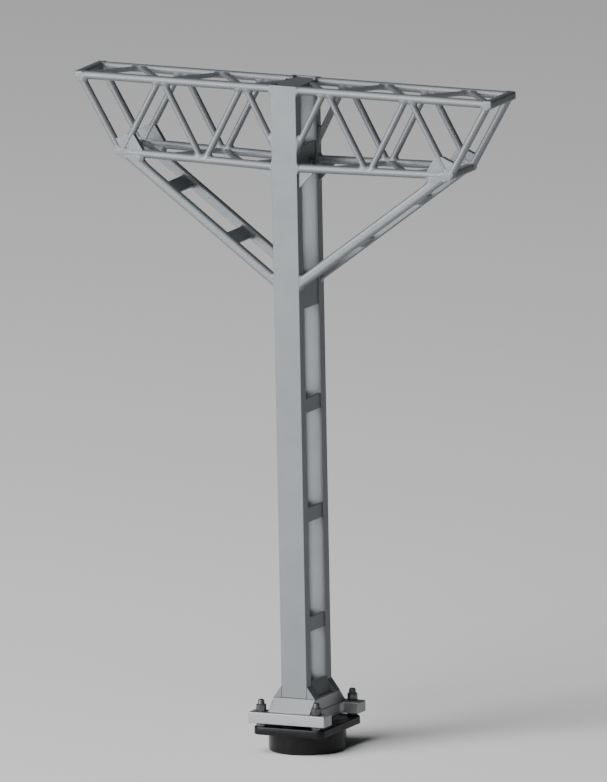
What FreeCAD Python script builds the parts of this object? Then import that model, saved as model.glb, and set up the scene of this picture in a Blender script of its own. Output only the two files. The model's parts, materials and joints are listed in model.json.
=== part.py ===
import FreeCAD, Part
import math
import os

import Sketcher
from FreeCAD import Vector

# Lattice mast with a twin-sided truss arm for a model railway, as a parametric document.
#
# Frame, in millimetres: +X runs along the arm, +Y to the rear, +Z up. The origin is in the middle
# of the underside of the foot's flange, which is the surface of the board that the mast stands on.
# The plug below it reaches down into the board.
#
# "left" is -X, "right" is +X, "front" is -Y and "rear" is +Y.

SIZES = [
    ("plug_diameter", 12.1, "foot: plug that enters the board"),
    ("plug_depth", 3.15, "foot: plug below the flange"),
    ("plug_chamfer", 0.3, "foot: lead-in at the plug's end"),
    ("flange_width", 12.2, "foot: flange along X"),
    ("flange_length", 14.6, "foot: flange along Y"),
    ("flange_thickness", 1.3, "foot: flange thickness"),
    ("flange_corner", 1.2, "foot: flange corner radius"),
    ("flange_edge", 0.2, "foot: rounding of the flange's rims"),
    ("anchor_x", 4.75, "anchors: distance from the middle along X"),
    ("anchor_y", 6.5, "anchors: distance from the middle along Y"),
    ("stud_diameter", 1.1, "anchors: stud"),
    ("stud_seat_depth", 0.9, "anchors: depth of the stud in the flange"),
    ("stud_top", 5.6, "anchors: height of the stud's end"),
    ("stud_bore", 1.15, "anchors: bore round the stud"),
    ("nut_corners", 1.62, "anchors: nut across its corners"),
    ("nut_height", 1.2, "anchors: clamping nut"),
    ("plate_bottom", 1.85, "base plate: underside, on the levelling nuts"),
    ("plate_top", 3.6, "base plate: top"),
    ("plate_width", 13.1, "base plate: along X"),
    ("plate_length", 15.06, "base plate: along Y"),
    ("plate_waist", 7.2, "base plate: width between the ears"),
    ("plate_ear", 2.83, "base plate: length of an ear along Y"),
    ("plate_inner_corner", 0.8, "base plate: rounding beside the waist"),
    ("plate_outer_corner", 0.15, "base plate: rounding of the ears"),
    ("collar_top", 5.6, "base collar: top, where the channels stand"),
    ("collar_length", 13.2, "base collar: along Y at its foot"),
    ("haunch_toe", 1.4, "foot brackets: reach of the wedges beside the mast"),
    ("haunch_height", 1.9, "foot brackets: height of the wedges"),
    ("infill_toe", 0.7, "foot brackets: reach of the infill between the wedges"),
    ("infill_height", 2.4, "foot brackets: height of the infill"),
    ("mast_width", 4.4, "mast: along X"),
    ("mast_depth", 9.0, "mast: along Y over both channels"),
    ("mast_top", 102.7, "mast: top of the channels"),
    ("channel_depth", 1.7, "channels: depth of their flanges"),
    ("channel_wall", 0.5, "channels: wall thickness"),
    ("batten_recess", 0.25, "battens: set back from the channel faces"),
    ("batten_thickness", 0.5, "battens: thickness"),
    ("batten_height", 2.35, "battens: height"),
    ("batten_first", 17.05, "battens: middle of the lowest one"),
    ("batten_pitch", 17.3, "battens: from one to the next"),
    ("brace_seat_bottom", 67.0, "brace seats: lower edge"),
    ("brace_seat_top", 72.0, "brace seats: upper edge"),
    ("girder_seat_bottom", 88.5, "girder seats: lower edge"),
    ("girder_seat_top", 92.9, "girder seats: upper edge"),
    ("cap_bottom", 101.8, "mast cap: underside"),
    ("cap_top", 102.5, "mast cap: top"),
    ("panel", 14.2, "arm: truss panel, from node to node"),
    ("truss_half_width", 3.85, "arm: from the middle to each truss plane"),
    ("arm_half_length", 36.0, "arm: from the middle to the outside of the top end bars"),
    ("top_chord_height", 102.03, "arm: middle of the top chords"),
    ("top_chord_diameter", 1.3, "arm: top chords"),
    ("bottom_chord_height", 89.65, "arm: middle of the bottom chords at the mast"),
    ("bottom_chord_rise", 0.0221, "arm: rise of the bottom chords per millimetre"),
    ("bottom_chord_diameter", 1.3, "arm: bottom chords"),
    ("bottom_chord_end", 28.95, "arm: from the middle to the outside of the bottom end bars"),
    ("web_diameter", 1.05, "arm: diagonals"),
    ("web_offset", 0.3, "arm: ends of the diagonals beside their node"),
    ("raker_diameter", 1.2, "arm: end rakers"),
    ("raker_head", 35.2, "arm: from the middle to the rakers' middle line at the top chords"),
    ("end_bar_width", 1.3, "arm: end bars along X"),
    ("top_end_bar_height", 1.3, "arm: top end bars"),
    ("bottom_end_bar_height", 1.2, "arm: bottom end bars"),
    ("lacing_width", 0.8, "arm: lacing bars across"),
    ("lacing_offset", 0.15, "arm: ends of the lacing bars beside their node"),
    ("lacing_height", 0.7, "arm: lacing bars"),
    ("end_gusset_thickness", 0.9, "end gussets: plate thickness"),
    ("end_gusset_reach", 3.85, "end gussets: along the chord from the node"),
    ("end_gusset_toe", 0.6, "end gussets: height at the inner end"),
    ("end_gusset_height", 2.9, "end gussets: height beside the diagonal"),
    ("end_gusset_shoulder", 2.4, "end gussets: where the slope to the toe starts"),
    ("end_gusset_web", 1.9, "end gussets: height beside the raker"),
    ("mast_gusset_thickness", 0.5, "mast gussets: plate thickness"),
    ("mast_gusset_reach", 2.5, "mast gussets: reach beside the mast along X"),
    ("mast_gusset_drop", 2.6, "mast gussets: drop below the chord"),
    ("brace_depth", 1.62, "knee braces: depth of the bar, square to its run"),
    ("brace_width", 1.35, "knee braces: width of the bar along Y"),
    ("brace_half_width", 3.8, "knee braces: from the middle along Y"),
    ("brace_foot_height", 71.52, "knee braces: middle line at the mast face"),
    ("brace_head_reach", 26.75, "knee braces: middle line's reach at the head"),
    ("brace_batten_first", 10.25, "knee brace battens: middle of the inner one along X"),
    ("brace_batten_second", 20.25, "knee brace battens: middle of the outer one along X"),
    ("brace_batten_length", 2.45, "knee brace battens: along the brace"),
    ("brace_batten_thickness", 0.6, "knee brace battens: thickness"),
]

SIDES = {"left": -1, "right": 1}
FACES = {"front": -1, "rear": 1}

doc = FreeCAD.newDocument("lattice_mast")
sheet = doc.addObject("Spreadsheet::Sheet", "Size")
for row, (alias, value, meaning) in enumerate(SIZES, start=1):
    sheet.set(f"A{row}", str(value))
    sheet.setAlias(f"A{row}", alias)
    sheet.set(f"B{row}", meaning)
doc.recompute()

nodes = []


def size(alias):
    """The number in one of the sheet's cells."""
    return float(sheet.get(alias))


def keep(piece, name):
    """Make a document object one of the mast's named pieces."""
    piece.Label = name
    nodes.append(piece)
    return piece


# ---------------------------------------------------------------------------------------------
# Primitives whose sizes and places are expressions on the sheet
# ---------------------------------------------------------------------------------------------

def round_bar(name, start, end, diameter):
    """A round bar between two points, each given as three expressions."""
    bar = doc.addObject("Part::Cylinder", name)
    run_x, run_y, run_z = (f"(({b}) - ({a}))" for a, b in zip(start, end))
    length = f"sqrt({run_x}^2 + {run_y}^2 + {run_z}^2)"
    bar.setExpression("Radius", f"{diameter} / 2")
    bar.setExpression("Height", length)
    place = "; ".join(start)
    turn = f"rotation(vector(-{run_y}; {run_x}; 0); acos({run_z} / {length}))"
    bar.setExpression("Placement", f"placement(vector({place}); {turn})")
    return bar


def upright_bar(name, x, y, bottom, top, diameter):
    """A vertical round bar or cutter."""
    bar = doc.addObject("Part::Cylinder", name)
    bar.setExpression("Radius", f"{diameter} / 2")
    bar.setExpression("Height", f"({top}) - ({bottom})")
    bar.setExpression("Placement.Base.x", x)
    bar.setExpression("Placement.Base.y", y)
    bar.setExpression("Placement.Base.z", bottom)
    return bar


def block(name, x_range, y_range, z_range):
    """A box between two corners, given as three (low, high) pairs of expressions."""
    box = doc.addObject("Part::Box", name)
    ranges = zip(("Length", "Width", "Height"), ("x", "y", "z"), (x_range, y_range, z_range))
    for length, letter, (low, high) in ranges:
        box.setExpression(length, f"({high}) - ({low})")
        box.setExpression(f"Placement.Base.{letter}", low)
    return box


def flat_bar(name, start, end, level, width, height):
    """A flat bar between two points of one level, given as pairs of expressions."""
    bar = doc.addObject("Part::Box", name)
    run_x, run_y = (f"(({b}) - ({a}))" for a, b in zip(start, end))
    bar.setExpression("Length", f"sqrt({run_x}^2 + {run_y}^2)")
    bar.setExpression("Width", width)
    bar.setExpression("Height", height)
    turn = f"rotation(vector(0; 0; 1); atan2({run_y}; {run_x}))"
    corner = f"placement(vector(0; -{width} / 2; -{height} / 2); rotation(vector(0; 0; 1); 0deg))"
    place = f"placement(vector({start[0]}; {start[1]}; {level}); {turn})"
    bar.setExpression("Placement", f"{place} * {corner}")
    return bar


def less(base, *cutters):
    """The base with each cutter taken out of it."""
    name = base.Name
    for cutter in cutters:
        cut = doc.addObject("Part::Cut", f"{name}_cut")
        cut.Base = base
        cut.Tool = cutter
        base = cut
    return base


def group(name, members):
    """Separate solids that share one node."""
    together = doc.addObject("Part::Compound", name)
    together.Links = members
    return keep(together, name)


# ---------------------------------------------------------------------------------------------
# Sketched bodies
# ---------------------------------------------------------------------------------------------

def origin_plane(body, role):
    for feature in body.Origin.OriginFeatures:
        if feature.Role == role:
            return feature
    raise ValueError(role)


def outline(body, name, role, corners, offset="0"):
    """A closed polygon whose corners are pairs of expressions, on one of the origin planes."""
    sketch = body.newObject("Sketcher::SketchObject", name)
    sketch.AttachmentSupport = [(origin_plane(body, role), "")]
    sketch.MapMode = "FlatFace"
    sketch.setExpression("AttachmentOffset.Base.z", offset)
    count = len(corners)
    turn = 2 * math.pi / count
    ring = [Vector(math.cos(i * turn), math.sin(i * turn), 0) for i in range(count)]
    for i in range(count):
        sketch.addGeometry(Part.LineSegment(ring[i], ring[(i + 1) % count]), False)
    for i in range(count):
        sketch.addConstraint(Sketcher.Constraint("Coincident", i, 2, (i + 1) % count, 1))
    for i, corner in enumerate(corners):
        for kind, distance in zip(("DistanceX", "DistanceY"), corner):
            number = sketch.addConstraint(Sketcher.Constraint(kind, -1, 1, i, 1, 1.0))
            sketch.setExpression(f"Constraints[{number}]", distance)
    return sketch


def disc(body, name, diameter, offset="0"):
    """A circle about the origin, on the body's XY plane."""
    sketch = body.newObject("Sketcher::SketchObject", name)
    sketch.AttachmentSupport = [(origin_plane(body, "XY_Plane"), "")]
    sketch.MapMode = "FlatFace"
    sketch.setExpression("AttachmentOffset.Base.z", offset)
    sketch.addGeometry(Part.Circle(Vector(0, 0, 0), Vector(0, 0, 1), 1.0), False)
    sketch.addConstraint(Sketcher.Constraint("Coincident", 0, 3, -1, 1))
    number = sketch.addConstraint(Sketcher.Constraint("Diameter", 0, 2.0))
    sketch.setExpression(f"Constraints[{number}]", diameter)
    return sketch


def rectangle(half_x, half_y):
    """The corners of a rectangle about the origin."""
    return [
        (f"-{half_x}", f"-{half_y}"),
        (half_x, f"-{half_y}"),
        (half_x, half_y),
        (f"-{half_x}", half_y),
    ]


def pad(body, sketch, length, reverse=False, both_ways=False):
    feature = body.newObject("PartDesign::Pad", f"{sketch.Name}_pad")
    feature.Profile = sketch
    feature.SideType = "Symmetric" if both_ways else "One side"
    feature.Reversed = reverse
    feature.setExpression("Length", length)
    doc.recompute()
    return feature


def edges_of(feature, wanted):
    """Names of the feature's edges for which wanted(edge) is true."""
    names = []
    for number, edge in enumerate(feature.Shape.Edges, start=1):
        if wanted(edge):
            names.append(f"Edge{number}")
    return names


def dress(body, kind, name, feature, edges, amount):
    """A fillet or chamfer on some edges of the feature."""
    dressing = body.newObject(f"PartDesign::{kind}", name)
    dressing.Base = (feature, edges)
    dressing.setExpression("Radius" if kind == "Fillet" else "Size", amount)
    doc.recompute()
    return dressing


def is_vertical(edge):
    box = edge.BoundBox
    return box.ZLength > 0.1 and box.XLength < 0.001 and box.YLength < 0.001


def lies_at(edge, height):
    box = edge.BoundBox
    return abs(box.ZMin - height) < 0.001 and abs(box.ZMax - height) < 0.001


# ---------------------------------------------------------------------------------------------
# Expressions for the places that several pieces share
# ---------------------------------------------------------------------------------------------

HALF_MAST = "Size.mast_width / 2"
HALF_DEPTH = "Size.mast_depth / 2"
HALF_GAP = "(Size.mast_depth / 2 - Size.channel_depth)"
INNER_HALF_WIDTH = "(Size.mast_width / 2 - Size.channel_wall)"
BATTEN_OUTER = "(Size.mast_width / 2 - Size.batten_recess)"
BATTEN_INNER = "(Size.mast_width / 2 - Size.batten_recess - Size.batten_thickness)"
TRUSS_DEPTH = "(Size.truss_half_width + Size.top_chord_diameter / 2)"
BRACE_SLOPE = (
    "((Size.bottom_chord_height - Size.brace_foot_height)"
    " / (Size.brace_head_reach - Size.mast_width / 2))"
)


def bottom_chord_level(distance):
    """Height of the bottom chords' middle line at a distance from the mast's middle."""
    return f"(Size.bottom_chord_height + Size.bottom_chord_rise * ({distance}))"


def between(sign, near, far):
    """The (low, high) pair from near to far, on the side that the sign names."""
    if sign > 0:
        return (near, far)
    return (f"-({far})", f"-({near})")


# ---------------------------------------------------------------------------------------------
# Foot and anchors
# ---------------------------------------------------------------------------------------------

def anchor_places():
    return [
        (f"{side} * Size.anchor_x", f"{face} * Size.anchor_y")
        for side in SIDES.values()
        for face in FACES.values()
    ]


def anchor_bores(owner, bottom, top):
    """Cutters for the four anchors through one of the plates."""
    return [
        upright_bar(f"{owner}_bore", x, y, bottom, top, "Size.stud_bore")
        for x, y in anchor_places()
    ]


def make_foot():
    """Moulded foot: a rounded flange on a round plug, with a blind bore for each stud."""
    body = doc.addObject("PartDesign::Body", "foot_body")
    flange_corners = rectangle("Size.flange_width / 2", "Size.flange_length / 2")
    flange_outline = outline(body, "flange", "XY_Plane", flange_corners)
    flange = pad(body, flange_outline, "Size.flange_thickness")
    flange = dress(body, "Fillet", "flange_corners", flange,
                   edges_of(flange, is_vertical), "Size.flange_corner")
    flange = dress(body, "Fillet", "flange_rims", flange,
                   edges_of(flange, lambda edge: lies_at(edge, 0)
                            or lies_at(edge, size("flange_thickness"))), "Size.flange_edge")
    plug = pad(body, disc(body, "plug", "Size.plug_diameter"), "Size.plug_depth", reverse=True)
    dress(body, "Chamfer", "plug_lead_in", plug,
          edges_of(plug, lambda edge: lies_at(edge, -size("plug_depth"))), "Size.plug_chamfer")
    seat = "Size.flange_thickness - Size.stud_seat_depth"
    keep(less(body, *anchor_bores("foot", seat, "Size.flange_thickness + 1")), "foot")


def nut(name, x, y, bottom, top):
    """A hexagon nut with two of its flats facing along X."""
    hexagon = doc.addObject("Part::Prism", name)
    hexagon.Polygon = 6
    hexagon.setExpression("Circumradius", "Size.nut_corners / 2")
    hexagon.setExpression("Height", f"({top}) - ({bottom})")
    turn = "rotation(vector(0; 0; 1); 30deg)"
    hexagon.setExpression("Placement", f"placement(vector({x}; {y}; {bottom}); {turn})")
    return less(hexagon, upright_bar(f"{name}_bore", x, y, bottom, top, "Size.stud_bore"))


def make_anchors():
    """Four studs in the foot, each with a nut under the base plate and one on top of it."""
    plate_nuts = ("Size.plate_top", "Size.plate_top + Size.nut_height")
    levelling = ("Size.flange_thickness", "Size.plate_bottom")
    seat = "Size.flange_thickness - Size.stud_seat_depth"
    places = anchor_places()
    group("anchor_studs", [
        upright_bar("anchor_stud", x, y, seat, "Size.stud_top", "Size.stud_diameter")
        for x, y in places
    ])
    group("levelling_nuts", [nut("levelling_nut", x, y, *levelling) for x, y in places])
    group("anchor_nuts", [nut("anchor_nut", x, y, *plate_nuts) for x, y in places])


def make_base_plate():
    """H-shaped plate: two ears across the ends, joined by a narrower waist."""
    body = doc.addObject("PartDesign::Body", "base_plate_body")
    wide = "Size.plate_width / 2"
    waist = "Size.plate_waist / 2"
    end = "Size.plate_length / 2"
    step = "(Size.plate_length / 2 - Size.plate_ear)"
    corners = [
        (f"-{wide}", f"-{end}"), (wide, f"-{end}"),
        (wide, f"-{step}"), (waist, f"-{step}"),
        (waist, step), (wide, step),
        (wide, end), (f"-{wide}", end),
        (f"-{wide}", step), (f"-{waist}", step),
        (f"-{waist}", f"-{step}"), (f"-{wide}", f"-{step}"),
    ]
    plate_outline = outline(body, "plate", "XY_Plane", corners, "Size.plate_bottom")
    plate = pad(body, plate_outline, "Size.plate_top - Size.plate_bottom")
    waist_x = size("plate_waist") / 2
    step_y = size("plate_length") / 2 - size("plate_ear")

    def beside_waist(edge):
        middle = edge.BoundBox.Center
        near_x = abs(abs(middle.x) - waist_x) < 0.001
        return is_vertical(edge) and near_x and abs(abs(middle.y) - step_y) < 0.001

    plate = dress(body, "Fillet", "inner_corners", plate,
                  edges_of(plate, beside_waist), "Size.plate_inner_corner")
    wide_x = size("plate_width") / 2
    dress(body, "Fillet", "outer_corners", plate,
          edges_of(plate, lambda edge: is_vertical(edge)
                   and abs(abs(edge.BoundBox.Center.x) - wide_x) < 0.001),
          "Size.plate_outer_corner")
    bores = anchor_bores("base_plate", "Size.plate_bottom - 1", "Size.plate_top + 1")
    keep(less(body, *bores), "base_plate")


def make_base_collar():
    """Hipped block on the plate: upright beside the waist, sloping to the front and the rear."""
    body = doc.addObject("PartDesign::Body", "base_collar")
    foot = "Size.collar_length / 2"
    corners = [
        (f"-{foot}", "Size.plate_top"),
        (foot, "Size.plate_top"),
        (HALF_DEPTH, "Size.collar_top"),
        (f"-{HALF_DEPTH}", "Size.collar_top"),
    ]
    pad(body, outline(body, "collar", "YZ_Plane", corners), "Size.plate_waist", both_ways=True)
    keep(body, "base_collar")


# ---------------------------------------------------------------------------------------------
# Mast
# ---------------------------------------------------------------------------------------------

def make_channel(face):
    """One of the two channels that the mast is made of, its web outward."""
    body = doc.addObject("PartDesign::Body", f"{face}_channel")
    sign = FACES[face]
    web = f"{sign} * {HALF_DEPTH}"
    floor = f"{sign} * ({HALF_DEPTH} - Size.channel_wall)"
    tips = f"{sign} * {HALF_GAP}"
    corners = [
        (f"-{HALF_MAST}", web), (HALF_MAST, web),
        (HALF_MAST, tips), (INNER_HALF_WIDTH, tips),
        (INNER_HALF_WIDTH, floor), (f"-{INNER_HALF_WIDTH}", floor),
        (f"-{INNER_HALF_WIDTH}", tips), (f"-{HALF_MAST}", tips),
    ]
    section = outline(body, f"{face}_section", "XY_Plane", corners, "Size.collar_top")
    pad(body, section, "Size.mast_top - Size.collar_top")
    keep(body, f"{face}_channel")


def side_plate(name, side, bottom, top):
    """A plate between the flange tips of the two channels, on one side of the mast."""
    x_range = between(SIDES[side], BATTEN_INNER, BATTEN_OUTER)
    plate = block(name, x_range, (f"-{HALF_GAP}", HALF_GAP), (bottom, top))
    keep(plate, name)


def make_side_plates(side):
    for index, level in enumerate(("lower", "middle", "upper")):
        middle = f"(Size.batten_first + {index} * Size.batten_pitch)"
        bottom = f"{middle} - Size.batten_height / 2"
        top = f"{middle} + Size.batten_height / 2"
        side_plate(f"{level}_batten_{side}", side, bottom, top)
    side_plate(f"brace_seat_{side}", side, "Size.brace_seat_bottom", "Size.brace_seat_top")
    side_plate(f"girder_seat_{side}", side, "Size.girder_seat_bottom", "Size.girder_seat_top")


def make_foot_bracket(side):
    """Two wedges beside the channel flanges, joined by an infill plate between the channels."""
    body = doc.addObject("PartDesign::Body", f"foot_bracket_{side}")
    sign = SIDES[side]
    base = "Size.collar_top"
    infill = [
        (f"{sign} * {BATTEN_INNER}", base),
        (f"{sign} * ({HALF_MAST} + Size.infill_toe)", base),
        (f"{sign} * {HALF_MAST}", f"{base} + Size.infill_height"),
        (f"{sign} * {BATTEN_INNER}", f"{base} + Size.infill_height"),
    ]
    sketch = outline(body, f"infill_{side}", "XZ_Plane", infill)
    pad(body, sketch, f"2 * {HALF_GAP}", both_ways=True)
    wedge = [
        (f"{sign} * {HALF_MAST}", base),
        (f"{sign} * ({HALF_MAST} + Size.haunch_toe)", base),
        (f"{sign} * {HALF_MAST}", f"{base} + Size.haunch_height"),
    ]
    for face, direction in FACES.items():
        start = f"{-direction} * {HALF_GAP}"
        sketch = outline(body, f"wedge_{face}_{side}", "XZ_Plane", wedge, start)
        pad(body, sketch, "Size.channel_depth", reverse=direction > 0)
    keep(body, f"foot_bracket_{side}")


def make_mast_cap():
    """Cross-shaped lid that closes the top of the mast."""
    body = doc.addObject("PartDesign::Body", "mast_cap")
    inner_depth = f"({HALF_DEPTH} - Size.channel_wall)"
    quarter = [(HALF_MAST, HALF_GAP), (INNER_HALF_WIDTH, HALF_GAP), (INNER_HALF_WIDTH, inner_depth)]
    corners = []
    for sign_x, sign_y in ((1, 1), (-1, 1), (-1, -1), (1, -1)):
        run = [(f"{sign_x} * {x}", f"{sign_y} * {y}") for x, y in quarter]
        if sign_x != sign_y:
            run.reverse()
        corners.extend(run)
    sketch = outline(body, "cap", "XY_Plane", corners, "Size.cap_bottom")
    pad(body, sketch, "Size.cap_top - Size.cap_bottom")
    keep(body, "mast_cap")


# ---------------------------------------------------------------------------------------------
# Arm
# ---------------------------------------------------------------------------------------------

mast_envelope = block(
    "mast_envelope",
    (f"-{HALF_MAST}", HALF_MAST),
    (f"-{HALF_DEPTH} - 1", f"{HALF_DEPTH} + 1"),
    ("Size.collar_top", "Size.mast_top + 1"),
)


def make_chords(side, face, bottom_bar):
    """The top and bottom chords of one half of one truss, between the mast and the end bars."""
    sign = SIDES[side]
    plane = f"{FACES[face]} * Size.truss_half_width"
    butt = f"{sign} * {HALF_MAST}"
    top_end = f"{sign} * (Size.arm_half_length - Size.end_bar_width)"
    top = round_bar(f"top_chord_{face}_{side}", (butt, plane, "Size.top_chord_height"),
                    (top_end, plane, "Size.top_chord_height"), "Size.top_chord_diameter")
    keep(top, f"top_chord_{face}_{side}")
    in_bar = "(Size.bottom_chord_end - Size.end_bar_width / 2)"
    bottom = round_bar(f"bottom_chord_{face}_{side}_rod", ("0", plane, bottom_chord_level("0")),
                       (f"{sign} * {in_bar}", plane, bottom_chord_level(in_bar)),
                       "Size.bottom_chord_diameter")
    bottom = keep(less(bottom, mast_envelope, bottom_bar), f"bottom_chord_{face}_{side}")
    return top, bottom


def make_diagonals(side, face, cutters):
    """The four diagonals between the chords, coped to them, from the mast outward."""
    sign = SIDES[side]
    plane = f"{FACES[face]} * Size.truss_half_width"
    bars = []
    for number in range(4):
        rising = number % 2 == 0
        near = f"({number} / 2 * Size.panel + Size.web_offset)"
        far = f"({number + 1} / 2 * Size.panel - Size.web_offset)"
        low, high = (near, far) if rising else (far, near)
        foot = (f"{sign} * {low}", plane, bottom_chord_level(low))
        head = (f"{sign} * {high}", plane, "Size.top_chord_height")
        rod = round_bar(f"diagonal_{face}_{side}", foot, head, "Size.web_diameter")
        bars.append(less(rod, *cutters, mast_envelope))
    group(f"diagonals_{face}_{side}", bars)
    return bars


def end_bar(name, side, outer, height, level):
    """A bar across the end of the arm, over the ends of the front and rear chords."""
    x_range = between(SIDES[side], f"{outer} - Size.end_bar_width", outer)
    z_range = (f"{level} - {height} / 2", f"{level} + {height} / 2")
    return keep(block(name, x_range, (f"-{TRUSS_DEPTH}", TRUSS_DEPTH), z_range), name)


def make_raker(side, face, cutters):
    """The outermost bar of a truss, from the bottom end bar to the top one."""
    sign = SIDES[side]
    plane = f"{FACES[face]} * Size.truss_half_width"
    low = "(2 * Size.panel)"
    high = "Size.raker_head"
    foot = (f"{sign} * {low}", plane, bottom_chord_level(low))
    head = (f"{sign} * {high}", plane, "Size.top_chord_height")
    rod = round_bar(f"raker_{face}_{side}", foot, head, "Size.raker_diameter")
    return keep(less(rod, *cutters), f"end_raker_{face}_{side}")


def lacing(name, side, count, level_at, cutters):
    """Flat bars that zigzag between the chords of one half of the arm, from the mast outward.

    The zigzag has a node at every half panel: rear at the mast, then front, and so on.
    """
    sign = SIDES[side]
    bars = []
    for number in range(count):
        near = f"{sign} * ({number} / 2 * Size.panel + Size.lacing_offset)"
        far = f"{sign} * ({number + 1} / 2 * Size.panel - Size.lacing_offset)"
        rear, front = (near, far) if number % 2 == 0 else (far, near)
        bar = flat_bar(f"{name}_bar", (front, "-Size.truss_half_width"),
                       (rear, "Size.truss_half_width"), level_at(number),
                       "Size.lacing_width", "Size.lacing_height")
        bars.append(less(bar, *cutters))
    group(name, bars)


def make_end_gusset(side, face, cutters):
    """Plate in the corner between the bottom chord, the last diagonal and the raker."""
    sign = SIDES[side]
    body = doc.addObject("PartDesign::Body", f"gusset_{face}_{side}")
    node = "2 * Size.panel"
    level = bottom_chord_level(node)
    raker_lean = f"(Size.raker_head - {node}) / (Size.top_chord_height - {level})"
    steps = [
        ("0", "0"),
        (f"-{raker_lean} * Size.end_gusset_web", "Size.end_gusset_web"),
        ("Size.end_gusset_shoulder / 2", "Size.end_gusset_height"),
        ("Size.end_gusset_shoulder", "Size.end_gusset_height"),
        ("Size.end_gusset_reach", "Size.end_gusset_toe"),
        ("Size.end_gusset_reach", "0"),
    ]
    corners = [(f"{sign} * ({node} - ({inward}))", f"{level} + {up}") for inward, up in steps]
    offset = f"{-FACES[face]} * Size.truss_half_width"
    sketch = outline(body, f"gusset_outline_{face}_{side}", "XZ_Plane", corners, offset)
    pad(body, sketch, "Size.end_gusset_thickness", both_ways=True)
    return keep(less(body, *cutters), f"end_gusset_{face}_{side}")


def make_mast_gussets(side, chords):
    """Triangular plates under the bottom chords beside the mast, front and rear."""
    sign = SIDES[side]
    plates = []
    for face, direction in FACES.items():
        body = doc.addObject("PartDesign::Body", f"mast_gusset_{face}_{side}")
        level = bottom_chord_level("0")
        corners = [
            (f"{sign} * {HALF_MAST}", level),
            (f"{sign} * ({HALF_MAST} + Size.mast_gusset_reach)", level),
            (f"{sign} * ({HALF_MAST} + Size.mast_gusset_reach)",
             f"{level} - Size.bottom_chord_diameter / 2"),
            (f"{sign} * {HALF_MAST}",
             f"{level} - Size.bottom_chord_diameter / 2 - Size.mast_gusset_drop"),
        ]
        offset = f"{-direction} * Size.truss_half_width"
        sketch = outline(body, f"knee_{face}_{side}", "XZ_Plane", corners, offset)
        pad(body, sketch, "Size.mast_gusset_thickness", both_ways=True)
        plates.append(less(body, chords[face]))
    group(f"mast_gussets_{side}", plates)


# ---------------------------------------------------------------------------------------------
# Knee braces
# ---------------------------------------------------------------------------------------------

def sloping_block(name, side, distance, middle_y, length, width, height):
    """A block along the knee braces' run, its middle at a distance from the mast's."""
    sign = SIDES[side]
    piece = doc.addObject("Part::Box", name)
    piece.setExpression("Length", length)
    piece.setExpression("Width", width)
    piece.setExpression("Height", height)
    level = f"Size.brace_foot_height + ({distance} - {HALF_MAST}) * {BRACE_SLOPE}"
    turn = f"rotation(vector(0; 1; 0); {-sign} * atan({BRACE_SLOPE}))"
    place = f"placement(vector({sign} * {distance}; {middle_y}; {level}); {turn})"
    half_sizes = f"vector(-{length} / 2; -{width} / 2; -{height} / 2)"
    corner = f"placement({half_sizes}; rotation(vector(0; 0; 1); 0deg))"
    piece.setExpression("Placement", f"{place} * {corner}")
    return piece


def make_knee_brace(side, face, cutters):
    """Square strut from the mast up to the end of the bottom chord, coped to its underside."""
    sign = SIDES[side]
    rod = sloping_block(
        f"brace_{face}_{side}", side, "Size.panel",
        f"{FACES[face]} * Size.brace_half_width",
        f"(2 * Size.panel * sqrt(1 + {BRACE_SLOPE}^2))",
        "Size.brace_width", "Size.brace_depth",
    )
    upper_side = block(
        f"brace_limit_{face}_{side}",
        between(sign, "Size.mast_width", "Size.arm_half_length"),
        between(FACES[face], "Size.channel_wall", "Size.mast_depth"),
        (bottom_chord_level("2 * Size.panel"), "Size.mast_top"),
    )
    return keep(less(rod, *cutters, mast_envelope, upper_side), f"knee_brace_{face}_{side}")


def make_brace_battens(side, braces):
    """Plates between the front and rear braces of one side."""
    for name, distance in (("inner", "Size.brace_batten_first"),
                           ("outer", "Size.brace_batten_second")):
        plate = sloping_block(
            f"{name}_brace_batten_{side}_blank", side, distance, "0",
            "Size.brace_batten_length", "(2 * Size.brace_half_width)",
            "Size.brace_batten_thickness",
        )
        keep(less(plate, *braces), f"{name}_brace_batten_{side}")


# ---------------------------------------------------------------------------------------------
# Assembly
# ---------------------------------------------------------------------------------------------

def make_arm(side):
    """One half of the arm: two trusses, laced together, on two knee braces."""
    top_bar = end_bar(f"top_end_bar_{side}", side, "Size.arm_half_length",
                      "Size.top_end_bar_height", "Size.top_chord_height")
    bottom_bar = end_bar(f"bottom_end_bar_{side}", side, "Size.bottom_chord_end",
                         "Size.bottom_end_bar_height", bottom_chord_level("2 * Size.panel"))
    top, bottom, braces = {}, {}, []
    for face in FACES:
        top[face], bottom[face] = make_chords(side, face, bottom_bar)
        joined = [top[face], bottom[face], bottom_bar]
        diagonals = make_diagonals(side, face, joined)
        raker = make_raker(side, face, [*joined, top_bar])
        make_end_gusset(side, face, [bottom[face], bottom_bar, raker, diagonals[-1]])
        braces.append(make_knee_brace(side, face, [bottom[face], bottom_bar]))
    make_brace_battens(side, braces)
    make_mast_gussets(side, bottom)
    lacing(f"top_lacing_{side}", side, 5, lambda number: "Size.top_chord_height",
           [*top.values(), mast_envelope, top_bar])
    lacing(f"bottom_lacing_{side}", side, 4,
           lambda number: bottom_chord_level(f"({number} + 0.5) / 2 * Size.panel"),
           [*bottom.values(), mast_envelope, bottom_bar])


def failed_objects():
    """Objects that the document could not build."""
    return [
        item.Name
        for item in doc.Objects
        if "Invalid" in item.State or "Error" in item.State
    ]


make_foot()
make_anchors()
make_base_plate()
make_base_collar()
for channel_face in FACES:
    make_channel(channel_face)
make_mast_cap()
for arm_side in SIDES:
    make_side_plates(arm_side)
    make_foot_bracket(arm_side)
    make_arm(arm_side)
doc.recompute()

failures = failed_objects()
if failures:
    raise RuntimeError(f"not built: {failures}")
for node in nodes:
    if node.Shape.isNull() or not node.Shape.isValid():
        raise RuntimeError(f"bad shape: {node.Label}")

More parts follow.
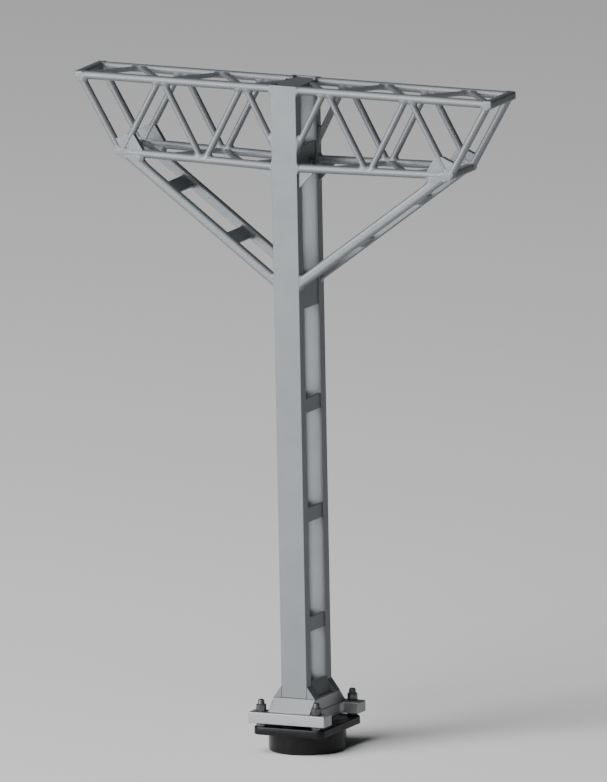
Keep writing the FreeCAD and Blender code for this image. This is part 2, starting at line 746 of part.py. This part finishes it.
os.makedirs("parts", exist_ok=True)
for node in nodes:
    node.Shape.exportStep(f"parts/{node.Label}.step")
    solids = node.Shape.Solids
    print(f"{node.Label:28s} {len(solids)} solid(s) {node.Shape.Volume:10.3f} mm3")
print(f"{len(nodes)} nodes")
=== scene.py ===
import json
import math

import bmesh
import bpy
import numpy as np
from mathutils import Matrix, Vector


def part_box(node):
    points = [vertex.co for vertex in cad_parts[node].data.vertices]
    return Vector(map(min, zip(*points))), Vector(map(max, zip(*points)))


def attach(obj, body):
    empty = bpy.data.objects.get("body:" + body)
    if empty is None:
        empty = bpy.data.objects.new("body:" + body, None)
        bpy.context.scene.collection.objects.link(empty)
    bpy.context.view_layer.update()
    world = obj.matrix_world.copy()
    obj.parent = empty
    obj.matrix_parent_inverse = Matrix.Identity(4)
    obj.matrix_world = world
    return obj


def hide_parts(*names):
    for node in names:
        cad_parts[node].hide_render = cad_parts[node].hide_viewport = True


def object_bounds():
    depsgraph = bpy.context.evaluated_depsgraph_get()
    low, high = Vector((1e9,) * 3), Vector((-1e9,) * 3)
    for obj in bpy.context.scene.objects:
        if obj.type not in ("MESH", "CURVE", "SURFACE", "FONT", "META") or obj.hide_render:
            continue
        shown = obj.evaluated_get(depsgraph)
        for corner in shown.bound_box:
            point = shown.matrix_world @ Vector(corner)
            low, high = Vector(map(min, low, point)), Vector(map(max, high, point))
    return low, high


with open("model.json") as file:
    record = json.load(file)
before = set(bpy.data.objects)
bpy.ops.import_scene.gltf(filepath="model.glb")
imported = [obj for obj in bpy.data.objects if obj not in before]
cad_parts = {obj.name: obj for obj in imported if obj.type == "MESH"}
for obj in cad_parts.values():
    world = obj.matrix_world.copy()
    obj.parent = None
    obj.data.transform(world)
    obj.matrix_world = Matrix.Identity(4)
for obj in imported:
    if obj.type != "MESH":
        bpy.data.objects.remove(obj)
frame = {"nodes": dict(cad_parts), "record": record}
cad_low, cad_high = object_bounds()

# Looks of the lattice mast, in metres, in the CAD model's own frame: +X along the arm, -Y to the
# front, +Z up, the board's surface at z = 0.

MM = 0.001

# Joints: radius of the fillet where one bar runs into another
WEB_FILLET = 0.5 * MM
CHORD_FILLET = 0.55 * MM
LACING_FILLET = 0.3 * MM
BRACE_FOOT_FILLET = 0.45 * MM
BRACE_HEAD_FILLET = 1.0 * MM

# Rounding of edges
SHEET_EDGE = 0.09 * MM
BLOCK_EDGE = 0.12 * MM
BAR_EDGE = 0.2 * MM
BRACE_EDGE = 0.5 * MM
BATTEN_EDGE = 0.15 * MM
END_BAR_EDGE = 0.3 * MM

# Sections: arc steps in a quarter of a round bar and at each corner of a square one, where its flat
# sides have points between their ends, and the signs of the four quarters
ROUND_STEPS = 8
CORNER_STEPS = 5
FLAT_PARTS = (0.25, 0.5, 0.75)
QUARTERS = ((1, 1), (-1, 1), (-1, -1), (1, -1))

# Rings along a bar: close together at its joints, further apart between them
FINE_SPACING = 0.1 * MM
FINE_RINGS = 32
WIDE_SPACING = 1.2 * MM
WIDE_AFTER_START = 3.6 * MM
WIDE_BEFORE_END = 3.4 * MM
END_TURNS = [math.radians(angle) for angle in (10, 20, 32, 44, 56, 68, 80)]

# Joints: how far a skin goes on into its neighbour, and how it flares out to it
OVERRUN = 0.25 * MM
FLARE_STEPS = 24
FLARE_LOSS_WITH_DEPTH = 1.5
SAME_SURFACE = 0.004 * MM
SINK = 0.02 * MM
CHORD_MARGIN = 0.01 * MM
WEB_MARGIN = 0.02 * MM
MAST_EDGE = 0.1 * MM

# CAD meshes: how they are welded and read
WELD_DISTANCE = 0.002 * MM
FLAT_ANGLE = math.radians(0.8)
LONG_SHARE = 0.6
SAME_LEVEL = 0.01 * MM

# Nuts and studs
NUT_SIDES = 48
NUT_RIM_SHARE = 0.95
NUT_CHAMFER = math.radians(28)
NUT_EDGE = 0.035 * MM
BORE_GAP = 0.01 * MM
BORE_CHAMFER = 0.04 * MM
STUD_SIDES = 32
STUD_CHAMFER = 0.3 * MM
STUD_DOME_SHARE = 0.75
THREAD_PITCH = 0.22 * MM
THREAD_DEPTH = 0.035 * MM
THREAD_STEP = 0.02 * MM

# Foot
FLANGE_RIM = 0.2 * MM
FLANGE_CORNER = 1.2 * MM
FLANGE_DRAFT = 0.04 * MM
PLUG_RIM = 0.3 * MM
PLUG_IN_FLANGE = 0.1 * MM
PLUG_SIDES = 128
CORNER_ARC_STEPS = 12

# What counts as zero, for plain numbers and for lengths
TINY = 1e-12
TINY_LENGTH = 1e-9

# Camera: a parallel view from the front right, a little from above
VIEW_AZIMUTH = math.radians(25.76)
VIEW_ELEVATION = math.radians(11.17)
VIEW_ROLL = math.radians(-1.09)
VIEW_TARGET = Vector((0.44, 0.0, 53.53)) * MM
VIEW_HEIGHT = 121.6 * MM
VIEW_DISTANCE = 0.6

SIDES = ("left", "right")
FACES = ("front", "rear")


# ---------------------------------------------------------------------------------------------
# Materials
# ---------------------------------------------------------------------------------------------

def new_material(name):
    material = bpy.data.materials.new(name)
    material.use_nodes = True
    shader = material.node_tree.nodes["Principled BSDF"]
    return material, material.node_tree, shader


def object_coordinates(tree):
    return tree.nodes.new("ShaderNodeTexCoord").outputs["Object"]


def noise(tree, scale, detail, roughness=0.5):
    node = tree.nodes.new("ShaderNodeTexNoise")
    node.inputs["Scale"].default_value = scale
    node.inputs["Detail"].default_value = detail
    node.inputs["Roughness"].default_value = roughness
    tree.links.new(object_coordinates(tree), node.inputs["Vector"])
    return node.outputs["Fac"]


def ramp(tree, factor, stops):
    node = tree.nodes.new("ShaderNodeValToRGB")
    elements = node.color_ramp.elements
    while len(elements) < len(stops):
        elements.new(0.5)
    for element, (position, color) in zip(elements, stops):
        element.position = position
        element.color = (*color, 1.0)
    tree.links.new(factor, node.inputs["Fac"])
    return node.outputs["Color"]


def spread(tree, factor, low, high):
    node = tree.nodes.new("ShaderNodeMapRange")
    node.inputs["To Min"].default_value = low
    node.inputs["To Max"].default_value = high
    tree.links.new(factor, node.inputs["Value"])
    return node.outputs["Result"]


def bump(tree, height, strength, distance, shader):
    node = tree.nodes.new("ShaderNodeBump")
    node.inputs["Strength"].default_value = strength
    node.inputs["Distance"].default_value = distance
    tree.links.new(height, node.inputs["Height"])
    tree.links.new(node.outputs["Normal"], shader.inputs["Normal"])


def mast_paint():
    """Cool grey satin paint, a little uneven in tone and gloss, with a fine spray texture."""
    material, tree, shader = new_material("mast_paint")
    dark, light = (0.185, 0.197, 0.206), (0.205, 0.217, 0.228)
    tone = ramp(tree, noise(tree, 160, 4), [(0.3, dark), (0.7, light)])
    tree.links.new(tone, shader.inputs["Base Color"])
    tree.links.new(spread(tree, noise(tree, 420, 3), 0.46, 0.56), shader.inputs["Roughness"])
    shader.inputs["Metallic"].default_value = 0.6
    bump(tree, noise(tree, 9000, 2), 0.12, 0.02 * MM, shader)
    return material


def base_paint():
    """Lighter, slightly metallic grey with a fine grain, on the base plate and its collar."""
    material, tree, shader = new_material("base_paint")
    dark, light = (0.3, 0.31, 0.317), (0.35, 0.36, 0.367)
    tone = ramp(tree, noise(tree, 5200, 4), [(0.35, dark), (0.65, light)])
    tree.links.new(tone, shader.inputs["Base Color"])
    tree.links.new(spread(tree, noise(tree, 900, 3), 0.34, 0.46), shader.inputs["Roughness"])
    shader.inputs["Metallic"].default_value = 0.65
    bump(tree, noise(tree, 9000, 2), 0.15, 0.02 * MM, shader)
    return material


def fastener_steel():
    """Darker, blued steel for the studs and nuts."""
    material, tree, shader = new_material("fastener_steel")
    dark, light = (0.085, 0.089, 0.093), (0.145, 0.15, 0.154)
    tone = ramp(tree, noise(tree, 900, 4), [(0.3, dark), (0.7, light)])
    tree.links.new(tone, shader.inputs["Base Color"])
    tree.links.new(spread(tree, noise(tree, 1500, 3), 0.28, 0.45), shader.inputs["Roughness"])
    shader.inputs["Metallic"].default_value = 0.8
    bump(tree, noise(tree, 12000, 2), 0.15, 0.01 * MM, shader)
    return material


def foot_plastic():
    """Black moulded plastic with a satin gloss."""
    material, tree, shader = new_material("foot_plastic")
    dark, light = (0.005, 0.005, 0.006), (0.009, 0.009, 0.01)
    tone = ramp(tree, noise(tree, 700, 3), [(0.3, dark), (0.7, light)])
    tree.links.new(tone, shader.inputs["Base Color"])
    tree.links.new(spread(tree, noise(tree, 1800, 4), 0.2, 0.3), shader.inputs["Roughness"])
    shader.inputs["Specular IOR Level"].default_value = 0.2
    bump(tree, noise(tree, 14000, 2), 0.1, 0.01 * MM, shader)
    return material


MATERIALS = {
    "mast_paint": mast_paint(),
    "base_paint": base_paint(),
    "fastener_steel": fastener_steel(),
    "foot_plastic": foot_plastic(),
}
SLOTS = {entry["node"]: entry["material_slot"] for entry in frame["record"]["subparts"]}


# ---------------------------------------------------------------------------------------------
# Meshes
# ---------------------------------------------------------------------------------------------

def add_rings(work, rings, looped=False):
    """Skin a run of rings of points; the ends are closed, or joined to each other if looped."""
    rows = [[work.verts.new(point) for point in ring] for ring in rings]
    count = len(rows[0])
    pairs = list(zip(rows, rows[1:]))
    if looped:
        pairs.append((rows[-1], rows[0]))
    else:
        work.faces.new(list(reversed(rows[0])))
        work.faces.new(rows[-1])
    for low, high in pairs:
        for i in range(count):
            j = (i + 1) % count
            work.faces.new((low[i], low[j], high[j], high[i]))


def finish_piece(work, name, node, edge=0.0, segments=3, crease=38):
    """Turn a bmesh into the piece that stands for the CAD node."""
    bmesh.ops.recalc_face_normals(work, faces=work.faces)
    mesh = bpy.data.meshes.new(name)
    work.to_mesh(mesh)
    work.free()
    mesh.materials.append(MATERIALS[SLOTS[node]])
    for polygon in mesh.polygons:
        polygon.use_smooth = True
    piece = bpy.data.objects.new(name, mesh)
    bpy.context.scene.collection.objects.link(piece)
    if edge > 0:
        bevel = piece.modifiers.new("rounded_edges", "BEVEL")
        bevel.width = edge
        bevel.segments = segments
        bevel.limit_method = "ANGLE"
        bevel.angle_limit = math.radians(crease)
        bevel.use_clamp_overlap = True
        weighted = piece.modifiers.new("flat_faces", "WEIGHTED_NORMAL")
        weighted.weight = 100
        weighted.keep_sharp = True
    else:
        mesh.set_sharp_from_angle(angle=math.radians(crease))
    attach(piece, "root")
    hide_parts(node)


def welded(node):
    """The CAD node's mesh with its split corners joined and its flat facets merged."""
    work = bmesh.new()
    work.from_mesh(frame["nodes"][node].data)
    bmesh.ops.remove_doubles(work, verts=work.verts, dist=WELD_DISTANCE)
    bmesh.ops.recalc_face_normals(work, faces=work.faces)
    bmesh.ops.dissolve_limit(work, angle_limit=FLAT_ANGLE, verts=work.verts,
                             edges=work.edges, delimit=set())
    return work


def finished_copy(node, edge):
    """The CAD piece with its edges rounded."""
    finish_piece(welded(node), f"{node}_skin", node, edge)


# ---------------------------------------------------------------------------------------------
# Bars, which run into each other with fillets
# ---------------------------------------------------------------------------------------------

def solids(node):
    """(corners, edges) of each separate solid in a CAD node, as arrays, always in the same order."""
    work = welded(node)
    seen = set()
    found = []
    for first in work.verts:
        if first in seen:
            continue
        seen.add(first)
        reached = [first]
        edges = {}
        for vert in reached:
            for edge in vert.link_edges:
                edges[edge] = None
                other = edge.other_vert(vert)
                if other not in seen:
                    seen.add(other)
                    reached.append(other)
        corners = np.array([vert.co[:] for vert in reached])
        runs = np.array([(edge.verts[1].co - edge.verts[0].co)[:] for edge in edges])
        found.append((corners, runs))
    work.free()
    return found


class Bar:
    """A straight bar of rounded rectangular or round section."""

    def __init__(self, corners, runs, across=None, corner=None):
        lengths = np.linalg.norm(runs, axis=1)
        long_runs = runs[lengths > LONG_SHARE * lengths.max()]
        lead = long_runs[np.argmax(np.linalg.norm(long_runs, axis=1))]
        signs = np.sign(long_runs @ lead)
        along = (long_runs * signs[:, None]).sum(axis=0)
        self.along = along / np.linalg.norm(along)
        if across is None:
            across = (0, 0, 1) if abs(self.along[2]) < 0.9 else (1, 0, 0)
        first = np.array(across, float)
        first -= self.along * (first @ self.along)
        self.first = first / np.linalg.norm(first)
        self.second = np.cross(self.along, self.first)
        self.axes = np.array([self.first, self.second, self.along])
        spans = corners @ self.axes.T
        low, high = spans.min(axis=0), spans.max(axis=0)
        self.middle = ((low + high) / 2) @ self.axes
        self.half = (high - low) / 2
        self.corner = min(self.half[:2]) if corner is None else corner
        if corner is None:
            self.half[:2] = self.corner

    def distance(self, points):
        """Distance of each point from the bar's surface, and the direction away from it."""
        local = (points - self.middle) @ self.axes.T
        over = np.abs(local) - self.half + self.corner * np.array([1, 1, 0])
        outside = np.maximum(over, 0)
        reach = np.linalg.norm(outside, axis=-1)
        inside = np.minimum(over.max(axis=-1), 0)
        away = np.where(reach[..., None] > TINY, outside, over == over.max(axis=-1)[..., None])
        away = away * np.sign(local)
        away = away / np.maximum(np.linalg.norm(away, axis=-1, keepdims=True), TINY)
        return reach + inside - self.corner, away @ self.axes

    def section(self):
        """The section's outline as (offset from the middle line, outward direction) pairs."""
        flat = self.half[:2] - self.corner
        is_round = flat.max() < TINY_LENGTH
        places, facing = [], []
        steps = ROUND_STEPS if is_round else CORNER_STEPS
        for quarter, sign in enumerate(QUARTERS):
            centre = flat * sign
            for step in range(steps if is_round else steps + 1):
                angle = math.pi / 2 * (quarter + step / steps)
                way = np.array([math.cos(angle), math.sin(angle)])
                places.append(centre + self.corner * way)
                facing.append(way)
            if not is_round:
                next_sign = QUARTERS[(quarter + 1) % 4]
                start, stop = places[-1], flat * next_sign + self.corner * facing[-1]
                for part in FLAT_PARTS:
                    places.append(start + (stop - start) * part)
                    facing.append(facing[-1])
        return np.array(places) @ self.axes[:2], np.array(facing) @ self.axes[:2]


def blended(own, own_away, bar, points, radius):
    """Distance of each point from the union of its own bar and another, filleted between them."""
    other, other_away = bar.distance(points)
    facing = np.clip((own_away * other_away).sum(axis=-1), 0, 1)
    fillet = radius * np.sqrt(1 - facing ** 2) + TINY_LENGTH
    near = np.maximum(fillet - own, 0) ** 2 + np.maximum(fillet - other, 0) ** 2
    return np.maximum(fillet, np.minimum(own, other)) - np.sqrt(near)


def stations(length, free, edge):
    """Places along a bar for its rings: close together near its ends."""
    fine = [FINE_SPACING * i for i in range(1, FINE_RINGS + 1)]
    near = [0.0] + [place for place in fine if place < length / 2]
    wide = list(np.arange(WIDE_AFTER_START, length - WIDE_BEFORE_END, WIDE_SPACING))
    if free:
        near += [edge * (1 - math.cos(turn)) for turn in END_TURNS]
    far = [length - place for place in near]
    return sorted(set(near + wide + far))


def end_inset(gap, edge):
    """How far the section is drawn in at a distance from a free end."""
    if gap >= edge:
        return 0.0
    return edge - math.sqrt(max(edge ** 2 - (edge - gap) ** 2, 0))


def slab_of(bar, margin):
    """The lowest and highest Y of a bar that runs square to Y, less a margin."""
    middle, half = bar.middle[1], min(bar.half[:2]) - margin
    return middle - half, middle + half


def plain_rings(bar, free, edge):
    """Rings of the bar on its own, and the outward direction at each of their points."""
    overrun = 0 if free else OVERRUN
    start, end = -bar.half[2] - overrun, bar.half[2] + overrun
    length = end - start
    places, facing = bar.section()
    offsets, insets = [], []
    for station in stations(length, free, edge):
        offsets.append(start + station)
        insets.append(max(end_inset(station, edge), end_inset(length - station, edge)) if free else 0)
    offsets, insets = np.array(offsets), np.array(insets)
    centres = bar.middle + offsets[:, None, None] * bar.along
    rings = centres + places[None] - insets[:, None, None] * facing[None]
    return rings, np.broadcast_to(facing[None], rings.shape)


def flare(rings, ways, neighbours):
    """How far each point moves outward to lie on the fillets between the bar and its neighbours."""
    furthest = max((fillet for _, fillet in neighbours), default=0.0)
    moved = np.full(rings.shape[:2], furthest)
    settled = np.zeros(rings.shape[:2], bool)
    previous = np.zeros(rings.shape[:2])
    for step in range(1, FLARE_STEPS + 1):
        out = furthest * step / FLARE_STEPS
        points = rings + out * ways
        value = np.full(rings.shape[:2], out)
        for other, fillet in neighbours:
            value = np.minimum(value, blended(out, ways, other, points, fillet))
        crossing = (value > 0) & ~settled
        share = np.clip(-previous / np.maximum(value - previous, TINY), 0, 1)
        moved = np.where(crossing, furthest / FLARE_STEPS * (step - 1 + share), moved)
        settled |= crossing
        previous = value
    for other, _ in neighbours:
        depth = other.distance(rings)[0]
        moved = np.minimum(moved, np.maximum(furthest + FLARE_LOSS_WITH_DEPTH * depth, 0))
    return moved


def bar_rings(bar, neighbours, slab=None, free=False, edge=0.0):
    """Rings of the bar's skin, which flares out to meet its (neighbour, fillet radius) pairs.

    Points that fall on a neighbour's surface are sunk into it, and then the skin is clipped to the
    slab in Y and to the CAD model's box.
    """
    rings, ways = plain_rings(bar, free, edge)
    points = rings + flare(rings, ways, neighbours)[..., None] * ways
    for other, _ in neighbours:
        gap, away = other.distance(points)
        sunk = np.where(np.abs(gap) < SAME_SURFACE, SINK + gap, 0)
        points = points - sunk[..., None] * away
    if slab:
        points[..., 1] = np.clip(points[..., 1], *slab)
    return np.clip(points, cad_low, cad_high)


def bars_of(node, across=None, corner=None):
    """The node's solids as bars; a bar with no given corner radius is round."""
    return [Bar(*solid, across, corner) for solid in solids(node)]


def box_bar(low, high, along, corner):
    """A bar that fills a box, for the mast itself."""
    low, high = np.array(low), np.array(high)
    corners = np.array([(x, y, z) for x in (low[0], high[0]) for y in (low[1], high[1])
                        for z in (low[2], high[2])])
    return Bar(corners, np.array([along]), (1, 0, 0), corner)


# ---------------------------------------------------------------------------------------------
# Arm
# ---------------------------------------------------------------------------------------------

def mast_bar():
    low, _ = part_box("front_channel")
    _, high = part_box("rear_channel")
    return box_bar(low, high, (0, 0, 1.0), MAST_EDGE)


def make_bars(node, joined, **shape):
    """One piece of the node's bars, given as (bar, its neighbours) pairs."""
    work = bmesh.new()
    for bar, neighbours in joined:
        add_rings(work, bar_rings(bar, neighbours, **shape).tolist())
    finish_piece(work, f"{node}_skin", node)


def all_with(fillet, bars):
    """The bars as neighbours that all have the same fillet."""
    return [(bar, fillet) for bar in bars]


def make_truss(side, face, mast, end_bars):
    """One truss of one half of the arm, on its knee brace; returns its chords and its brace."""
    name = f"{face}_{side}"
    chords = {level: bars_of(f"{level}_chord_{name}")[0] for level in end_bars}
    crossed = [*chords.values(), *end_bars.values()]
    brace = bars_of(f"knee_brace_{name}", (0, 1, 0), BRACE_EDGE)[0]
    raker = bars_of(f"end_raker_{name}")[0]
    webs = sorted(bars_of(f"diagonals_{name}"), key=lambda bar: abs(bar.middle[0]))
    for level, chord in chords.items():
        ends = all_with(CHORD_FILLET, [mast, end_bars[level]])
        make_bars(f"{level}_chord_{name}", [(chord, ends)], slab=slab_of(chord, CHORD_MARGIN))
    slab = slab_of(chords["top"], WEB_MARGIN)
    row = [mast, *webs, raker]
    make_bars(f"diagonals_{name}", [
        (web, all_with(WEB_FILLET, [*crossed, before, after]))
        for before, web, after in zip(row, webs, row[2:])
    ], slab=slab)
    raker_joints = all_with(WEB_FILLET, [*crossed, webs[-1], brace])
    make_bars(f"end_raker_{name}", [(raker, raker_joints)], slab=slab)
    head = all_with(BRACE_HEAD_FILLET, [chords["bottom"], end_bars["bottom"], raker])
    make_bars(f"knee_brace_{name}", [(brace, [(mast, BRACE_FOOT_FILLET), *head])], slab=slab)
    finished_copy(f"end_gusset_{name}", SHEET_EDGE)
    return list(chords.values()), brace


def make_arm(side, mast):
    """One half of the arm: two trusses, the bars and lacing between them, and the braces' battens."""
    end_bars = {level: bars_of(f"{level}_end_bar_{side}", (0, 0, 1), END_BAR_EDGE)[0]
                for level in ("top", "bottom")}
    chords, braces = [], []
    for face in FACES:
        truss_chords, brace = make_truss(side, face, mast, end_bars)
        chords += truss_chords
        braces.append(brace)
    for level, bar in end_bars.items():
        make_bars(f"{level}_end_bar_{side}", [(bar, [])], free=True, edge=END_BAR_EDGE)
        node = f"{level}_lacing_{side}"
        supports = all_with(LACING_FILLET, [*chords, mast, bar])
        make_bars(node, [(lace, supports) for lace in bars_of(node, (0, 0, 1), BAR_EDGE)])
    supports = all_with(LACING_FILLET, braces)
    for place in ("inner", "outer"):
        node = f"{place}_brace_batten_{side}"
        battens = bars_of(node, braces[0].along, BATTEN_EDGE)
        make_bars(node, [(batten, supports) for batten in battens])
    finished_copy(f"mast_gussets_{side}", SHEET_EDGE)


# ---------------------------------------------------------------------------------------------
# Mast, base and foot
# ---------------------------------------------------------------------------------------------

def make_mast():
    for node in ("front_channel", "rear_channel"):
        finished_copy(node, BLOCK_EDGE)
    finished_copy("mast_cap", SHEET_EDGE)
    for side in SIDES:
        for level in ("lower_batten", "middle_batten", "upper_batten", "brace_seat", "girder_seat"):
            finished_copy(f"{level}_{side}", SHEET_EDGE)
        finished_copy(f"foot_bracket_{side}", SHEET_EDGE)
    finished_copy("base_collar", BLOCK_EDGE)


def width_along_x(points):
    across = [x for x, _, _ in points]
    return max(across) - min(across)


def outer_loop(node):
    """The outline of the node's flat top, without its bores."""
    work = welded(node)
    top = max(vert.co.z for vert in work.verts)
    follow = {}
    for face in work.faces:
        if face.normal.z < 0.99 or abs(face.calc_center_median().z - top) > SAME_LEVEL:
            continue
        for loop in face.loops:
            if loop.link_loop_radial_next.face.normal.z < 0.9:
                follow[loop.vert.co[:]] = loop.link_loop_next.vert.co[:]
    work.free()
    outlines = []
    while follow:
        start = next(iter(follow))
        outline = [start]
        point = follow.pop(start)
        while point != start:
            outline.append(point)
            point = follow.pop(point)
        outlines.append(outline)
    return max(outlines, key=width_along_x)


def make_base_plate():
    low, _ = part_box("base_plate")
    outline = outer_loop("base_plate")
    work = bmesh.new()
    add_rings(work, [[(x, y, low[2]) for x, y, _ in outline], outline])
    finish_piece(work, "base_plate_skin", "base_plate", BLOCK_EDGE, crease=30)


def circle(centre, radius, height, count):
    turns = [math.tau * i / count for i in range(count)]
    return [(centre[0] + radius * math.cos(turn), centre[1] + radius * math.sin(turn), height)
            for turn in turns]


def centre_and_box(corners):
    low, high = corners.min(axis=0), corners.max(axis=0)
    return (low + high) / 2, low, high


def make_nuts(node, bore):
    """Hexagon nuts with their corners chamfered top and bottom."""
    work = bmesh.new()
    turns = [math.tau * i / NUT_SIDES for i in range(NUT_SIDES)]
    for corners, _ in solids(node):
        centre, low, high = centre_and_box(corners)
        flats = (high[0] - low[0]) / 2
        rim = NUT_RIM_SHARE * flats
        reach = [flats / math.cos((turn + math.pi / 6) % (math.pi / 3) - math.pi / 6)
                 for turn in turns]
        drop = [(r - rim) * math.tan(NUT_CHAMFER) for r in reach]

        def outline(heights):
            return [(centre[0] + r * math.cos(turn), centre[1] + r * math.sin(turn), height)
                    for r, turn, height in zip(reach, turns, heights)]

        add_rings(work, [
            circle(centre, bore, low[2], NUT_SIDES),
            circle(centre, rim, low[2], NUT_SIDES),
            outline([low[2] + d for d in drop]),
            outline([high[2] - d for d in drop]),
            circle(centre, rim, high[2], NUT_SIDES),
            circle(centre, bore + BORE_CHAMFER, high[2], NUT_SIDES),
            circle(centre, bore, high[2] - BORE_CHAMFER, NUT_SIDES),
        ], looped=True)
    finish_piece(work, f"{node}_skin", node, NUT_EDGE, segments=2, crease=24)


def thread_ring(centre, radius, height, thread_from):
    """One ring of a stud's thread, which winds round as it rises."""
    ring = []
    for i in range(STUD_SIDES):
        turn = math.tau * i / STUD_SIDES
        phase = (height - thread_from) / THREAD_PITCH - i / STUD_SIDES
        cut = THREAD_DEPTH * (0.5 - 0.5 * math.cos(math.tau * phase))
        ring.append((centre[0] + (radius - cut) * math.cos(turn),
                     centre[1] + (radius - cut) * math.sin(turn), height))
    return ring


def make_studs(node):
    """Threaded studs with a chamfered, slightly domed end."""
    thread_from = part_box("base_plate")[1][2]
    work = bmesh.new()
    for corners, _ in solids(node):
        centre, low, high = centre_and_box(corners)
        radius = (high[0] - low[0]) / 2
        rings = [circle(centre, radius, height, STUD_SIDES) for height in (low[2], thread_from)]
        height = thread_from + THREAD_STEP
        while height < high[2] - STUD_CHAMFER:
            rings.append(thread_ring(centre, radius, height, thread_from))
            height += THREAD_STEP
        for turn in map(math.radians, range(0, 81, 10)):
            drawn_in = radius * (1 - STUD_DOME_SHARE * (1 - math.cos(turn))) - THREAD_DEPTH
            lift = STUD_CHAMFER * math.sin(turn)
            rings.append(circle(centre, drawn_in, high[2] - STUD_CHAMFER + lift, STUD_SIDES))
        add_rings(work, rings)
    finish_piece(work, f"{node}_skin", node)


def rounded_rectangle(half_x, half_y, corner, height):
    points = []
    for quarter, (sign_x, sign_y) in enumerate(QUARTERS):
        for step in range(CORNER_ARC_STEPS + 1):
            angle = math.pi / 2 * (quarter + step / CORNER_ARC_STEPS)
            points.append((sign_x * (half_x - corner) + corner * math.cos(angle),
                           sign_y * (half_y - corner) + corner * math.sin(angle), height))
    return points


def rim_profile(radius):
    """(inset, rise) pairs round a rounded rim, from its flat face to its side."""
    return [(radius * (1 - math.sin(turn)), radius * (1 - math.cos(turn)))
            for turn in map(math.radians, range(0, 91, 15))]


def make_foot():
    """Flange with rounded corners and rims on a round plug."""
    low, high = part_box("foot")

    def flange_ring(inset, height):
        return rounded_rectangle(high[0] - inset, high[1] - inset, FLANGE_CORNER - inset, height)

    rim = rim_profile(FLANGE_RIM)
    rings = [flange_ring(inset, rise) for inset, rise in rim]
    rings += [flange_ring(inset + FLANGE_DRAFT, high[2] - rise) for inset, rise in reversed(rim)]
    work = bmesh.new()
    add_rings(work, rings)
    plug = frame["record"]["mounts"][0]["dims"]["r_mm"] * MM
    rings = [circle((0, 0), plug - inset, low[2] + rise, PLUG_SIDES)
             for inset, rise in rim_profile(PLUG_RIM)]
    rings.append(circle((0, 0), plug, PLUG_IN_FLANGE, PLUG_SIDES))
    add_rings(work, rings)
    finish_piece(work, "foot_skin", "foot")


def make_base():
    make_base_plate()
    stud, _ = solids("anchor_studs")[0]
    bore = (stud[:, 0].max() - stud[:, 0].min()) / 2 + BORE_GAP
    make_nuts("anchor_nuts", bore)
    make_nuts("levelling_nuts", bore)
    make_studs("anchor_studs")
    make_foot()


mast_shape = mast_bar()
for arm_side in SIDES:
    make_arm(arm_side, mast_shape)
make_mast()
make_base()


# ---------------------------------------------------------------------------------------------
# Stage, light and camera
# ---------------------------------------------------------------------------------------------

def make_floor():
    mesh = bpy.data.meshes.new("floor")
    work = bmesh.new()
    bmesh.ops.create_grid(work, x_segments=1, y_segments=1, size=4.0)
    work.to_mesh(mesh)
    work.free()
    floor = bpy.data.objects.new("floor", mesh)
    bpy.context.scene.collection.objects.link(floor)
    floor.location.z = cad_low.z
    material, _, shader = new_material("floor")
    shader.inputs["Base Color"].default_value = (0.93, 0.93, 0.93, 1)
    shader.inputs["Roughness"].default_value = 0.9
    mesh.materials.append(material)


def area_light(name, position, size, power):
    """A square soft light that faces the middle of the view."""
    data = bpy.data.lights.new(name, "AREA")
    data.shape = "RECTANGLE"
    data.size = data.size_y = size
    data.energy = power
    light = bpy.data.objects.new(name, data)
    bpy.context.scene.collection.objects.link(light)
    light.location = position
    aim = VIEW_TARGET - Vector(position)
    light.rotation_euler = aim.to_track_quat("-Z", "Y").to_euler()


def make_light():
    area_light("key", (-0.62, -0.85, 0.26), 0.6, 14)
    area_light("top", (-0.25, -0.75, 1.1), 0.9, 16)
    world = bpy.data.worlds.new("studio")
    bpy.context.scene.world = world
    world.use_nodes = True
    background = world.node_tree.nodes["Background"]
    background.inputs["Color"].default_value = (0.8, 0.86, 0.92, 1)
    background.inputs["Strength"].default_value = 0.04


def make_camera():
    azimuth, elevation, roll = VIEW_AZIMUTH, VIEW_ELEVATION, VIEW_ROLL
    back = Vector((
        math.sin(azimuth) * math.cos(elevation),
        -math.cos(azimuth) * math.cos(elevation),
        math.sin(elevation),
    ))
    level = Vector((math.cos(azimuth), math.sin(azimuth), 0))
    upright = back.cross(level)
    right = level * math.cos(roll) + upright * math.sin(roll)
    up = back.cross(right)
    data = bpy.data.cameras.new("camera")
    data.type = "ORTHO"
    data.ortho_scale = VIEW_HEIGHT
    camera = bpy.data.objects.new("camera", data)
    bpy.context.scene.collection.objects.link(camera)
    turn = Matrix((right, up, back)).transposed().to_4x4()
    camera.matrix_world = Matrix.Translation(VIEW_TARGET + back * VIEW_DISTANCE) @ turn
    data.clip_start = 0.01
    data.clip_end = 10
    bpy.context.scene.camera = camera


make_floor()
make_light()
make_camera()
